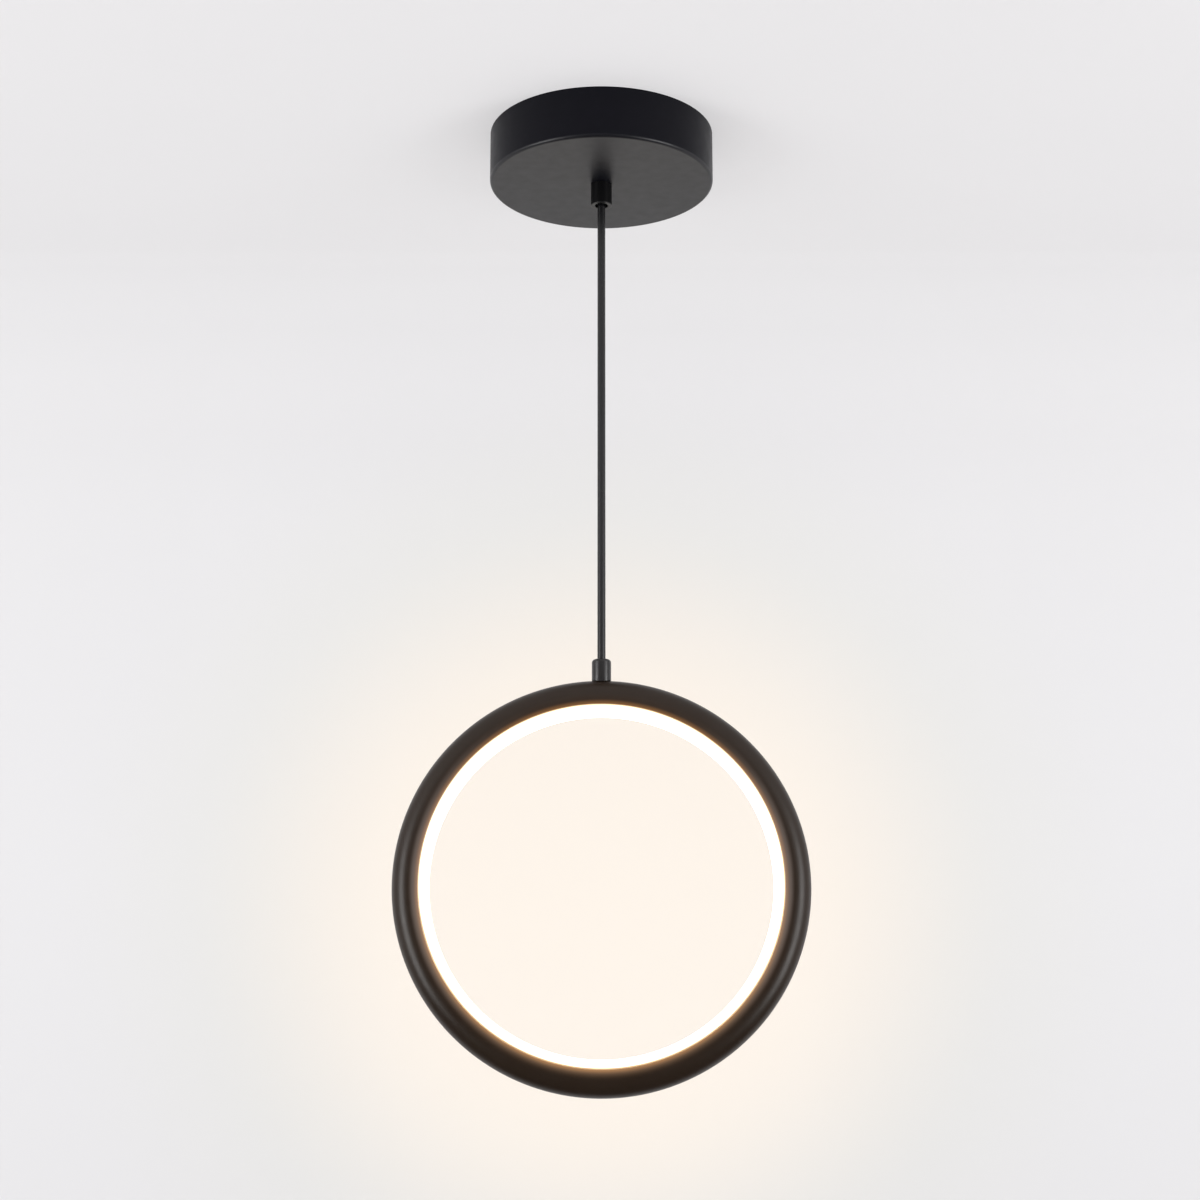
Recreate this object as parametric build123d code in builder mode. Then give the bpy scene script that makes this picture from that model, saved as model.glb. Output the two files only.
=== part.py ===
from build123d import *
import os
from math import cos, radians, sin, sqrt

# Ring pendant lamp. The origin is the centre of the ceiling plane, +Z is up, and the lamp hangs
# below it. The ring stands upright in the XZ plane and faces -Y. All sizes are in millimetres.

# ---- Overall sizes
ring_diameter = 280.0
tube_diameter = 25.0  # round section of the ring, channel and diffuser together
canopy_diameter = 160.0
canopy_height = 38.0
cord_diameter = 5.6
cord_drop = 335.0  # cord in sight between gland and ferrule

# ---- Clearances
thread_gap = 0.05  # thread to tapped hole, on the radius
slip_gap = 0.15  # parts that slide together
pass_gap = 0.3  # parts that only pass each other
swing_gap = 0.4  # around the parts that swing in the gland's mouth

# ---- Canopy cup
canopy_wall = 1.2
canopy_edge_radius = 2.2
stud_radius = 1.5
driver_stud_height = 7.0
earth_stud_height = 7.0

# ---- Mounting bracket
strap_width = 30.0
strap_thickness = 2.0
strap_length = 116.0
strap_corner = 4.0
ear_width = 14.0
ear_height = 17.0
ear_bend_radius = 2.5
slot_spacing = 70.0
slot_length = 15.0
slot_width = 5.0
cable_hole_radius = 9.0
canopy_screw_radius = 2.0
canopy_screw_length = 6.0
canopy_screw_drop = 10.0
screw_flush = 0.15

# ---- Gland, grommet and the cord's fixed end
gland_diameter = 15.0
gland_length = 16.5
gland_chamfer = 0.4
mouth_radius = 4.65
mouth_depth = 8.0
pivot_depth = 5.0  # the cord swings about this point inside the mouth
gland_thread_radius = 4.95
gland_nut_flats = 14.0
gland_nut_height = 3.0
thread_end = 1.6  # thread that stands past its nut
grommet_height = 1.6
grommet_cord_gap = 0.5  # lets the cord swing in the grommet
grub_radius = 1.5
grub_key = 1.5
gland_grub_drop = 4.3
tail_rise = 4.5  # cord tail above the gland's thread

# ---- Driver, terminal block and wires
driver_length = 84.0
driver_width = 34.0
driver_height = 20.0
driver_corner = 3.0
driver_wall = 1.8
driver_lid_thickness = 2.0
driver_lip = 1.5
driver_tab_length = 9.0
driver_tab_width = 14.0
driver_tab_thickness = 2.0
driver_centre_y = 37.0
driver_nut_flats = 5.5
driver_nut_height = 2.4
board_thickness = 1.6
transformer_size = (22.0, 20.0, 12.0)
capacitor_radius = 5.0
capacitor_height = 12.0
block_pitch = 10.0
block_ways = 3
block_width = 17.0
block_height = 8.0
block_tower_radius = 3.6
block_tower_rise = 4.5
block_centre = (-17.0, -43.0)
block_screw_spread = 9.0
block_screw_radius = 1.7
block_screw_slot = 0.7
wire_radius = 1.0
core_radius = 0.8
core_spread = 1.25
core_bend = 4.0
wire_height = 3.0  # wire ways above the foot of the block
earth_bend = 3.0

# ---- Ferrule
ferrule_diameter = 13.2
ferrule_height = 15.0
ferrule_edge_radius = 2.0
cord_grip_depth = 10.0
ferrule_grub_drop = 7.0
spigot_radius = 2.95
spigot_bore_radius = 2.1
ferrule_nut_flats = 10.0
ferrule_nut_height = 3.0
nut_seat_gap = 0.2

# ---- Ring channel, LED board and diffuser
# Section sizes are measured from the centre of the round section: u outward, v along Y.
mouth_half_angle = 64.5  # half of the round section that the diffuser takes, in degrees
lip_inner_v = 9.4
lip_depth = 1.8
hook_v = 10.2
ledge_u = 2.2
ledge_tip_v = 8.0
land_u = 9.7
land_half_width = 5.2
led_board_thickness = 1.2
led_board_half_width = 9.2
chip_count = 36
chip_size = (3.5, 2.8, 0.8)
diffuser_back_u = -8.6
diffuser_barb = 0.5
diffuser_leg_wall = 1.7
diffuser_leg_end_u = -1.2

# ---- Places that follow from the sizes
canopy_radius = canopy_diameter / 2
canopy_inner_radius = canopy_radius - canopy_wall
canopy_floor_z = -canopy_height + canopy_wall
gland_radius = gland_diameter / 2
gland_end_z = -canopy_height - gland_length
pivot_z = gland_end_z + pivot_depth
mouth_top_z = gland_end_z + mouth_depth
gland_thread_top_z = canopy_floor_z + gland_nut_height + thread_end
gland_bore_radius = cord_diameter / 2 + pass_gap
cord_radius = cord_diameter / 2
grommet_hole_radius = cord_radius + grommet_cord_gap
tail_top_z = gland_thread_top_z + tail_rise
ferrule_radius = ferrule_diameter / 2
ferrule_top_z = gland_end_z - cord_drop
ring_radius = ring_diameter / 2
tube_radius = tube_diameter / 2
tube_centre_radius = ring_radius - tube_radius
ring_top_z = ferrule_top_z - ferrule_height
ring_centre_z = ring_top_z - ring_radius
board_back_z = ring_centre_z + tube_centre_radius + ledge_u
section_plane = Plane(origin=(0, 0, ring_centre_z), x_dir=(1, 0, 0), z_dir=(0, 0, 1))
ring_axis = Axis((0, 0, ring_centre_z), (0, 1, 0))


os.makedirs("parts", exist_ok=True)


def finish(piece, label):
    """Name a piece and write it."""
    piece.part.label = label
    export_step(piece.part, f"parts/{label}.step")


def section_point(u, v):
    """A point of the ring's cross-section, as (X, Y) in the section plane."""
    return (tube_centre_radius + u, v)


def arc_height(u):
    """Half height of the round section at distance u from its centre."""
    return sqrt(tube_radius**2 - u**2)


# ---- Mounting bracket: strap flat on the ceiling, its narrow ends bent down into ears
ear_outer_x = sqrt(canopy_inner_radius**2 - (ear_width / 2) ** 2) - pass_gap
with BuildPart() as mounting_bracket:
    with BuildSketch(Plane.XZ) as ear_outline:
        with BuildLine():
            Polyline(
                (-ear_outer_x, 0),
                (ear_outer_x, 0),
                (ear_outer_x, -ear_height),
                (ear_outer_x - strap_thickness, -ear_height),
                (ear_outer_x - strap_thickness, -strap_thickness),
                (-ear_outer_x + strap_thickness, -strap_thickness),
                (-ear_outer_x + strap_thickness, -ear_height),
                (-ear_outer_x, -ear_height),
                close=True,
            )
        make_face()
        fillet(ear_outline.vertices().group_by(Axis.Y)[-1], ear_bend_radius)
    extrude(amount=ear_width / 2, both=True)
    with BuildSketch(Plane.XY):
        RectangleRounded(strap_length, strap_width, strap_corner)
    extrude(amount=-strap_thickness)
    with BuildSketch(Plane.XY):
        Circle(cable_hole_radius)
        with GridLocations(slot_spacing, 0, 2, 1):
            SlotOverall(slot_length, slot_width)
    extrude(amount=-strap_thickness, mode=Mode.SUBTRACT)
    with BuildSketch(Plane.YZ.offset(-ear_outer_x)):
        with Locations((0, -canopy_screw_drop)):
            Circle(canopy_screw_radius + thread_gap)
    extrude(amount=2 * ear_outer_x, mode=Mode.SUBTRACT)
finish(mounting_bracket, "mounting_bracket")

# ---- Canopy: drawn cup with weld studs for the driver, the terminal block and the earth
driver_stud_x = driver_length / 2 + driver_tab_length / 2
earth_stud_place = (block_centre[0] + block_pitch, -17.0)
with BuildPart() as canopy:
    with BuildSketch(Plane.XZ) as cup_outline:
        with BuildLine():
            Polyline(
                (gland_thread_radius + slip_gap, -canopy_height),
                (canopy_radius, -canopy_height),
                (canopy_radius, 0),
                (canopy_inner_radius, 0),
                (canopy_inner_radius, canopy_floor_z),
                (gland_thread_radius + slip_gap, canopy_floor_z),
                close=True,
            )
        make_face()
        fillet(cup_outline.vertices().group_by(Axis.Y)[0].sort_by(Axis.X)[-1], canopy_edge_radius)
    revolve(axis=Axis.Z)
    with BuildSketch(Plane.XY.offset(canopy_floor_z)):
        with Locations((-driver_stud_x, driver_centre_y), (driver_stud_x, driver_centre_y)):
            Circle(stud_radius)
        with Locations(block_centre):
            Circle(stud_radius)
    extrude(amount=driver_stud_height)
    with BuildSketch(Plane.XY.offset(canopy_floor_z)):
        with Locations(earth_stud_place):
            Circle(stud_radius)
    extrude(amount=earth_stud_height)
    with BuildSketch(Plane.YZ.offset(-canopy_radius)):
        with Locations((0, -canopy_screw_drop)):
            Circle(canopy_screw_radius + slip_gap)
    extrude(amount=2 * canopy_radius, mode=Mode.SUBTRACT)
finish(canopy, "canopy")

# ---- Canopy screws: two grub screws, flush with the wall, one each side
with BuildPart() as canopy_screws:
    for side in (1, -1):
        screw_face = Plane(
            origin=(side * (canopy_radius - screw_flush), 0, -canopy_screw_drop),
            x_dir=(0, 1, 0),
            z_dir=(-side, 0, 0),
        )
        with BuildSketch(screw_face):
            Circle(canopy_screw_radius)
        extrude(amount=canopy_screw_length)
        with BuildSketch(screw_face):
            RegularPolygon(canopy_screw_radius / 2, 6)
        extrude(amount=canopy_screw_length / 3, mode=Mode.SUBTRACT)
finish(canopy_screws, "canopy_screws")

# ---- Gland body: sleeve below the canopy, threaded neck through its floor
grub_z = -canopy_height - gland_grub_drop
with BuildPart() as gland_body:
    with BuildSketch(Plane.XZ) as sleeve_outline:
        with BuildLine():
            Polyline(
                (gland_bore_radius, gland_thread_top_z),
                (gland_thread_radius, gland_thread_top_z),
                (gland_thread_radius, -canopy_height),
                (gland_radius, -canopy_height),
                (gland_radius, gland_end_z),
                (mouth_radius, gland_end_z),
                (mouth_radius, mouth_top_z),
                (gland_bore_radius, mouth_top_z),
                close=True,
            )
        make_face()
        chamfer(sleeve_outline.vertices().group_by(Axis.Y)[0], gland_chamfer)
    revolve(axis=Axis.Z)
    with BuildSketch(Plane.XZ.offset(-gland_radius)):
        with Locations((0, grub_z)):
            Circle(grub_radius + thread_gap)
    extrude(amount=gland_radius, mode=Mode.SUBTRACT)
finish(gland_body, "gland_body")

# ---- Gland nut on the canopy floor
with BuildPart() as gland_nut:
    with BuildSketch(Plane.XY.offset(canopy_floor_z)):
        RegularPolygon(gland_nut_flats / 2, 6, major_radius=False)
        Circle(gland_thread_radius + thread_gap, mode=Mode.SUBTRACT)
    extrude(amount=gland_nut_height)
finish(gland_nut, "gland_nut")


def grub_screw(label, outer_y, inner_y, height):
    """Socket grub screw that runs along Y at the back, from the sleeve's face to the cord."""
    with BuildPart() as screw:
        with BuildSketch(Plane.XZ.offset(-outer_y)):
            with Locations((0, height)):
                Circle(grub_radius)
        extrude(amount=outer_y - inner_y)
        with BuildSketch(Plane.XZ.offset(-outer_y)):
            with Locations((0, height)):
                RegularPolygon(grub_key / 2, 6, major_radius=False)
        extrude(amount=grub_radius, mode=Mode.SUBTRACT)
    finish(screw, label)


grub_screw("gland_grub_screw", gland_radius - slip_gap, cord_radius + thread_gap, grub_z)

# ---- Cord grommet: silicone ring that tips with the cord inside the gland's mouth
grommet_radius = sqrt((mouth_radius - swing_gap) ** 2 - (grommet_height / 2) ** 2)
with BuildPart() as cord_grommet:
    with BuildSketch(Plane.XY.offset(pivot_z - grommet_height / 2)):
        Circle(grommet_radius)
        Circle(grommet_hole_radius, mode=Mode.SUBTRACT)
    extrude(amount=grommet_height)
finish(cord_grommet, "cord_grommet")

# ---- Cord tail: the end of the cord that the gland grips, sheath on
with BuildPart() as cord_tail:
    with BuildSketch(Plane.XY.offset(mouth_top_z)):
        Circle(cord_radius)
    extrude(amount=tail_top_z - mouth_top_z)
finish(cord_tail, "cord_tail")

# ---- Cord: straight under the ring's weight, round where it swings in the grommet
with BuildPart() as cord:
    with BuildSketch(Plane.XZ):
        with BuildLine():
            Line((0, pivot_z + cord_radius), (0, ferrule_top_z))
            Line((0, ferrule_top_z), (cord_radius, ferrule_top_z))
            Line((cord_radius, ferrule_top_z), (cord_radius, pivot_z))
            RadiusArc((cord_radius, pivot_z), (0, pivot_z + cord_radius), -cord_radius)
        make_face()
    revolve(axis=Axis.Z)
finish(cord, "cord")

# ---- Driver: open case with two screw tabs, a board and a lid
driver_base_z = canopy_floor_z
driver_top_z = driver_base_z + driver_height
driver_place = (0, driver_centre_y)
with BuildPart() as driver_case:
    with BuildSketch(Plane.XY.offset(driver_base_z)):
        with Locations(driver_place):
            RectangleRounded(driver_length, driver_width, driver_corner)
    extrude(amount=driver_height)
    with BuildSketch(Plane.XY.offset(driver_base_z)):
        with Locations(driver_place):
            Rectangle(driver_length + 2 * driver_tab_length, driver_tab_width)
        with Locations((-driver_stud_x, driver_centre_y), (driver_stud_x, driver_centre_y)):
            Circle(stud_radius + slip_gap, mode=Mode.SUBTRACT)
    extrude(amount=driver_tab_thickness)
    with BuildSketch(Plane.XY.offset(driver_base_z + driver_wall)):
        with Locations(driver_place):
            Rectangle(driver_length - 2 * driver_wall, driver_width - 2 * driver_wall)
    extrude(amount=driver_height, mode=Mode.SUBTRACT)
finish(driver_case, "driver_case")

with BuildPart() as driver_lid:
    with BuildSketch(Plane.XY.offset(driver_top_z)):
        with Locations(driver_place):
            RectangleRounded(driver_length, driver_width, driver_corner)
    extrude(amount=driver_lid_thickness)
    with BuildSketch(Plane.XY.offset(driver_top_z)):
        with Locations(driver_place):
            lid_length = driver_length - 2 * driver_wall - 2 * slip_gap
            lid_width = driver_width - 2 * driver_wall - 2 * slip_gap
            Rectangle(lid_length, lid_width)
            Rectangle(lid_length - 2 * driver_wall, lid_width - 2 * driver_wall, mode=Mode.SUBTRACT)
    extrude(amount=-driver_lip)
finish(driver_lid, "driver_lid")

with BuildPart() as driver_board:
    board_z = driver_base_z + driver_wall
    with BuildSketch(Plane.XY.offset(board_z)):
        with Locations(driver_place):
            Rectangle(lid_length, lid_width)
    extrude(amount=board_thickness)
    with BuildSketch(Plane.XY.offset(board_z + board_thickness)):
        with Locations(driver_place):
            Rectangle(transformer_size[0], transformer_size[1])
    extrude(amount=transformer_size[2])
    with BuildSketch(Plane.XY.offset(board_z + board_thickness)):
        with Locations((driver_length / 3, driver_centre_y)):
            Circle(capacitor_radius)
    extrude(amount=capacitor_height)
finish(driver_board, "driver_board")

with BuildPart() as driver_nuts:
    with BuildSketch(Plane.XY.offset(driver_base_z + driver_tab_thickness)):
        with Locations((-driver_stud_x, driver_centre_y), (driver_stud_x, driver_centre_y)):
            RegularPolygon(driver_nut_flats / 2, 6, major_radius=False)
            Circle(stud_radius + thread_gap, mode=Mode.SUBTRACT)
    extrude(amount=driver_nut_height)
finish(driver_nuts, "driver_nuts")

# ---- Terminal block: three ways along Y, two screws in each way
block_length = block_pitch * block_ways
block_top_z = canopy_floor_z + block_height
way_z = canopy_floor_z + wire_height
way_xs = [block_centre[0] + block_pitch * (way - 1) for way in range(block_ways)]
screw_ys = [block_centre[1] - block_screw_spread / 2, block_centre[1] + block_screw_spread / 2]
screw_places = [(x, y) for x in way_xs for y in screw_ys]
with BuildPart() as terminal_block:
    with BuildSketch(Plane.XY.offset(canopy_floor_z)):
        with Locations(block_centre):
            Rectangle(block_length, block_width)
            Circle(stud_radius + slip_gap, mode=Mode.SUBTRACT)
    extrude(amount=block_height)
    with BuildSketch(Plane.XY.offset(block_top_z)):
        for x in way_xs:
            with Locations((x, block_centre[1])):
                Rectangle(2 * block_tower_radius, block_width)
                Rectangle(2 * block_tower_radius, 2 * stud_radius + 1, mode=Mode.SUBTRACT)
    extrude(amount=block_tower_rise)
    with BuildSketch(Plane.XY.offset(block_top_z + block_tower_rise)):
        with Locations(screw_places):
            Circle(block_screw_radius + slip_gap)
    extrude(amount=-block_tower_rise, mode=Mode.SUBTRACT)
finish(terminal_block, "terminal_block")

with BuildPart() as terminal_screws:
    with BuildSketch(Plane.XY.offset(block_top_z)):
        with Locations(screw_places):
            Circle(block_screw_radius)
    extrude(amount=block_tower_rise / 2)
    with BuildSketch(Plane.XY.offset(block_top_z + block_tower_rise / 2)):
        with Locations(screw_places):
            Rectangle(2 * block_screw_radius + 1, block_screw_slot)
    extrude(amount=-block_screw_slot, mode=Mode.SUBTRACT)
finish(terminal_screws, "terminal_screws")

# ---- Wires in the canopy: mains to the driver, cord cores to the driver, earth to its stud
block_back_y = block_centre[1] + block_width / 2
driver_front_y = driver_centre_y - driver_width / 2
with BuildPart() as mains_leads:
    with BuildSketch(Plane.XZ.offset(-block_back_y)):
        with Locations((way_xs[0], way_z), (way_xs[1], way_z)):
            Circle(wire_radius)
    extrude(amount=-(driver_front_y - block_back_y))
finish(mains_leads, "mains_leads")

with BuildPart() as cord_cores:
    for side in (1, -1):
        core_x = side * core_spread
        core_top_z = tail_top_z + core_bend + core_radius
        with BuildLine() as core_path:
            FilletPolyline(
                (core_x, 0, tail_top_z),
                (core_x, 0, core_top_z),
                (core_x, driver_front_y, core_top_z),
                radius=core_bend,
            )
        with BuildSketch(Plane.XY.offset(tail_top_z)):
            with Locations((core_x, 0)):
                RegularPolygon(core_radius, 6)
        sweep(path=core_path.line)
finish(cord_cores, "cord_cores")

earth_end_z = canopy_floor_z + wire_radius
with BuildPart() as earth_lead:
    earth_x = way_xs[2]
    earth_run = earth_stud_place[1] - stud_radius - slip_gap - block_back_y
    with BuildLine() as earth_path:
        FilletPolyline(
            (earth_x, block_back_y, way_z),
            (earth_x, block_back_y + earth_run / 3, way_z),
            (earth_x, block_back_y + earth_run * 2 / 3, earth_end_z),
            (earth_x, block_back_y + earth_run, earth_end_z),
            radius=earth_bend,
        )
    with BuildSketch(Plane.XZ.offset(-block_back_y)):
        with Locations((earth_x, way_z)):
            RegularPolygon(wire_radius, 6)
    sweep(path=earth_path.line)
finish(earth_lead, "earth_lead")

# ---- Ring housing: round-backed channel, open towards the ring's centre
lip_u = -tube_radius * cos(radians(mouth_half_angle))
lip_v = tube_radius * sin(radians(mouth_half_angle))
with BuildPart() as ring_housing:
    with BuildSketch(section_plane):
        with BuildLine():
            half_wall = [
                section_point(lip_u, lip_v),
                section_point(lip_u, lip_inner_v),
                section_point(lip_u + lip_depth, lip_inner_v),
                section_point(lip_u + lip_depth, hook_v),
                section_point(ledge_u, hook_v),
                section_point(ledge_u, ledge_tip_v),
                section_point(land_u, land_half_width),
            ]
            mirrored_wall = [(u, -v) for u, v in reversed(half_wall)]
            Polyline(half_wall + mirrored_wall)
            ThreePointArc(mirrored_wall[-1], section_point(tube_radius, 0), half_wall[0])
        make_face()
    revolve(axis=ring_axis)
    with BuildSketch(Plane.XY.offset(ring_top_z)):
        Circle(spigot_radius + slip_gap)
    extrude(amount=land_u - 2 * tube_radius, mode=Mode.SUBTRACT)
finish(ring_housing, "ring_housing")

# ---- LED board and its chips, which face the ring's centre
board_front_u = ledge_u - led_board_thickness
with BuildPart() as led_board:
    with BuildSketch(section_plane):
        with BuildLine():
            Polyline(
                section_point(board_front_u, -led_board_half_width),
                section_point(ledge_u, -led_board_half_width),
                section_point(ledge_u, led_board_half_width),
                section_point(board_front_u, led_board_half_width),
                close=True,
            )
        make_face()
    revolve(axis=ring_axis)
finish(led_board, "led_board")

with BuildPart() as led_chips:
    chip_back_radius = sqrt((tube_centre_radius + board_front_u) ** 2 - (chip_size[0] / 2) ** 2)
    with Locations(Plane(origin=(0, 0, ring_centre_z), x_dir=(1, 0, 0), z_dir=(0, -1, 0))):
        with PolarLocations(chip_back_radius - chip_size[2] / 2, chip_count):
            Box(chip_size[2], chip_size[0], chip_size[1])
finish(led_chips, "led_chips")

# ---- Diffuser: opal ring whose legs snap behind the channel's lips
seat_u = lip_u - slip_gap
leg_v = lip_inner_v - slip_gap
barb_u = lip_u + lip_depth + slip_gap
with BuildPart() as diffuser:
    with BuildSketch(section_plane):
        with BuildLine():
            half_leg = [
                section_point(seat_u, arc_height(seat_u)),
                section_point(seat_u, leg_v),
                section_point(barb_u, leg_v),
                section_point(barb_u, leg_v + diffuser_barb),
                section_point(diffuser_leg_end_u, leg_v - diffuser_leg_wall),
                section_point(diffuser_back_u, leg_v - diffuser_leg_wall),
            ]
            mirrored_leg = [(u, -v) for u, v in reversed(half_leg)]
            Polyline(half_leg + mirrored_leg)
            ThreePointArc(mirrored_leg[-1], section_point(-tube_radius, 0), half_leg[0])
        make_face()
    revolve(axis=ring_axis)
finish(diffuser, "diffuser")

# ---- Ferrule: sleeve that seats on the round section, threaded spigot into the channel
land_z = ring_centre_z + tube_centre_radius + land_u
spigot_end_z = land_z - nut_seat_gap - ferrule_nut_height - thread_end / 2
ferrule_grub_z = ferrule_top_z - ferrule_grub_drop
with BuildPart() as ferrule:
    with BuildSketch(Plane.XY.offset(ferrule_top_z)):
        Circle(ferrule_radius)
    extrude(amount=-ferrule_height - tube_radius / 2)
    fillet(ferrule.edges().group_by(Axis.Z)[-1], ferrule_edge_radius)
    with Locations(Location((0, 0, ring_top_z - tube_radius), (0, 90, 0))):
        Cylinder(tube_radius + thread_gap, 2 * ferrule_diameter, mode=Mode.SUBTRACT)
    with BuildSketch(Plane.XY.offset(spigot_end_z)):
        Circle(spigot_radius)
    extrude(amount=ring_top_z + 1 - spigot_end_z)
    with BuildSketch(Plane.XY.offset(ferrule_top_z)):
        Circle(cord_radius + slip_gap)
    extrude(amount=-cord_grip_depth, mode=Mode.SUBTRACT)
    with BuildSketch(Plane.XY.offset(ferrule_top_z)):
        Circle(spigot_bore_radius)
    extrude(amount=spigot_end_z - ferrule_top_z, mode=Mode.SUBTRACT)
    with BuildSketch(Plane.XZ.offset(-ferrule_radius)):
        with Locations((0, ferrule_grub_z)):
            Circle(grub_radius + thread_gap)
    extrude(amount=ferrule_radius, mode=Mode.SUBTRACT)
finish(ferrule, "ferrule")

with BuildPart() as ferrule_nut:
    with BuildSketch(Plane.XY.offset(land_z - nut_seat_gap)):
        RegularPolygon(ferrule_nut_flats / 2, 6, major_radius=False)
        Circle(spigot_radius + thread_gap, mode=Mode.SUBTRACT)
    extrude(amount=-ferrule_nut_height)
finish(ferrule_nut, "ferrule_nut")

grub_screw("ferrule_grub_screw", ferrule_radius - slip_gap, cord_radius + thread_gap, ferrule_grub_z)

# ---- Cord end in the ferrule, and the cores that run on to the LED board
with BuildPart() as cord_end:
    with BuildSketch(Plane.XY.offset(ferrule_top_z)):
        Circle(cord_radius)
    extrude(amount=-cord_grip_depth)
finish(cord_end, "cord_end")

with BuildPart() as board_leads:
    with BuildSketch(Plane.XY.offset(ferrule_top_z - cord_grip_depth)):
        with GridLocations(2 * core_spread, 0, 2, 1):
            Circle(core_radius)
    extrude(amount=board_back_z - (ferrule_top_z - cord_grip_depth))
finish(board_leads, "board_leads")
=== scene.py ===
import math
from contextlib import contextmanager
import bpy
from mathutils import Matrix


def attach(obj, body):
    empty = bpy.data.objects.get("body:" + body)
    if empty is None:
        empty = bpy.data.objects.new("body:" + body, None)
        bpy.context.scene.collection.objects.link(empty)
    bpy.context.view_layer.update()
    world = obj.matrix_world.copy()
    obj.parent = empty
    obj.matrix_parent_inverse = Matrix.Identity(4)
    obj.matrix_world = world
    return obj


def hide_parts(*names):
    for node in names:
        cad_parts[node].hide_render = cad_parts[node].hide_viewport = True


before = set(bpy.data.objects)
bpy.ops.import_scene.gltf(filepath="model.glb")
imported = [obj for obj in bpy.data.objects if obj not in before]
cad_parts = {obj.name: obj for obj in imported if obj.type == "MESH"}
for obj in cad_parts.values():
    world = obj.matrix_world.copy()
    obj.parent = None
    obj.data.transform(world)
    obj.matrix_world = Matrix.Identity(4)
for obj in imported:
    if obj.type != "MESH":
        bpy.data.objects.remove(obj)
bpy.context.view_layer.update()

from types import SimpleNamespace as Named

import bmesh
import bpy
from mathutils import Matrix, Vector

scene = bpy.context.scene
scene.view_settings.view_transform = "Standard"


# sRGB hex to the linear colour that a node takes
def linear(hexColour):
    values = [int(hexColour[i:i + 2], 16) / 255 for i in (1, 3, 5)]
    return [v / 12.92 if v <= 0.04045 else ((v + 0.055) / 1.055) ** 2.4 for v in values] + [1.0]


# one node with its settings, and what feeds it: a socket, or a node for its first output
def addNode(tree, kind, settings={}, links={}):
    node = tree.nodes.new(kind)
    for key, value in settings.items():
        if isinstance(key, str) and key in node.bl_rna.properties:
            setattr(node, key, value)
        else:
            node.inputs[key].default_value = value
    for key, source in links.items():
        tree.links.new(getattr(source, "outputs", [source])[0], node.inputs[key])
    return node


def meshObject(name, mesh, *materials):
    piece = bpy.data.objects.new(name, mesh)
    scene.collection.objects.link(piece)
    for material in materials:
        mesh.materials.append(material)
    return piece


def meshFrom(work, name):
    mesh = bpy.data.meshes.new(name)
    work.to_mesh(mesh)
    work.free()
    return mesh


print("camera")
cameraLens = {"lens": 77.23, "sensor_width": 36.0, "clip_start": 0.05, "clip_end": 100}
cameraPose = {"place": (-0.001, -1.7077, -0.80923), "tilt": 15.143}
cameraData = bpy.data.cameras.new("photoCamera")
for key, value in cameraLens.items():
    setattr(cameraData, key, value)
camera = bpy.data.objects.new("photoCamera", cameraData)
camera.location = cameraPose["place"]
camera.rotation_euler = (math.radians(90 + cameraPose["tilt"]), 0, 0)  # looks up at the lamp
scene.collection.objects.link(camera)
scene.camera = camera


print("stage")
stageSizes = {"wallY": 0.33, "coveRadius": 0.12, "coveSteps": 16, "half": 4.0, "front": -4.0,
              "ceilingZ": 0.0004, "floorZ": -1.3, "floorHalf": 30, "hole": 0.0796, "holeSteps": 96,
              "square": 0.15}
# glow and fringe paint the ring's light onto the wall: a warm painted glow round a point behind the ring, and
# a wider painted warm tint round it
stageLook = {"base": "#A3A3A4", "tint": (1.0, 0.982, 0.991), "reach": 0.9,
             "glow": (0.525, 0.449, 0.355), "glowCentre": (0.0, 0.33, -0.505), "glowInner": 0.15,
             "glowOuter": 0.335, "fringe": (1.0, 1.0, 0.926), "fringeInner": 0.27, "fringeOuter": 0.45}
# depth under the ceiling in metres, and how bright the surface is of itself there:
# less in the cove, which the lamps light more
stageLevels = ((0.0, 0.423), (0.004, 0.401), (0.035, 0.374), (0.19, 0.39), (0.5, 0.382), (0.9, 0.331))
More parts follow.
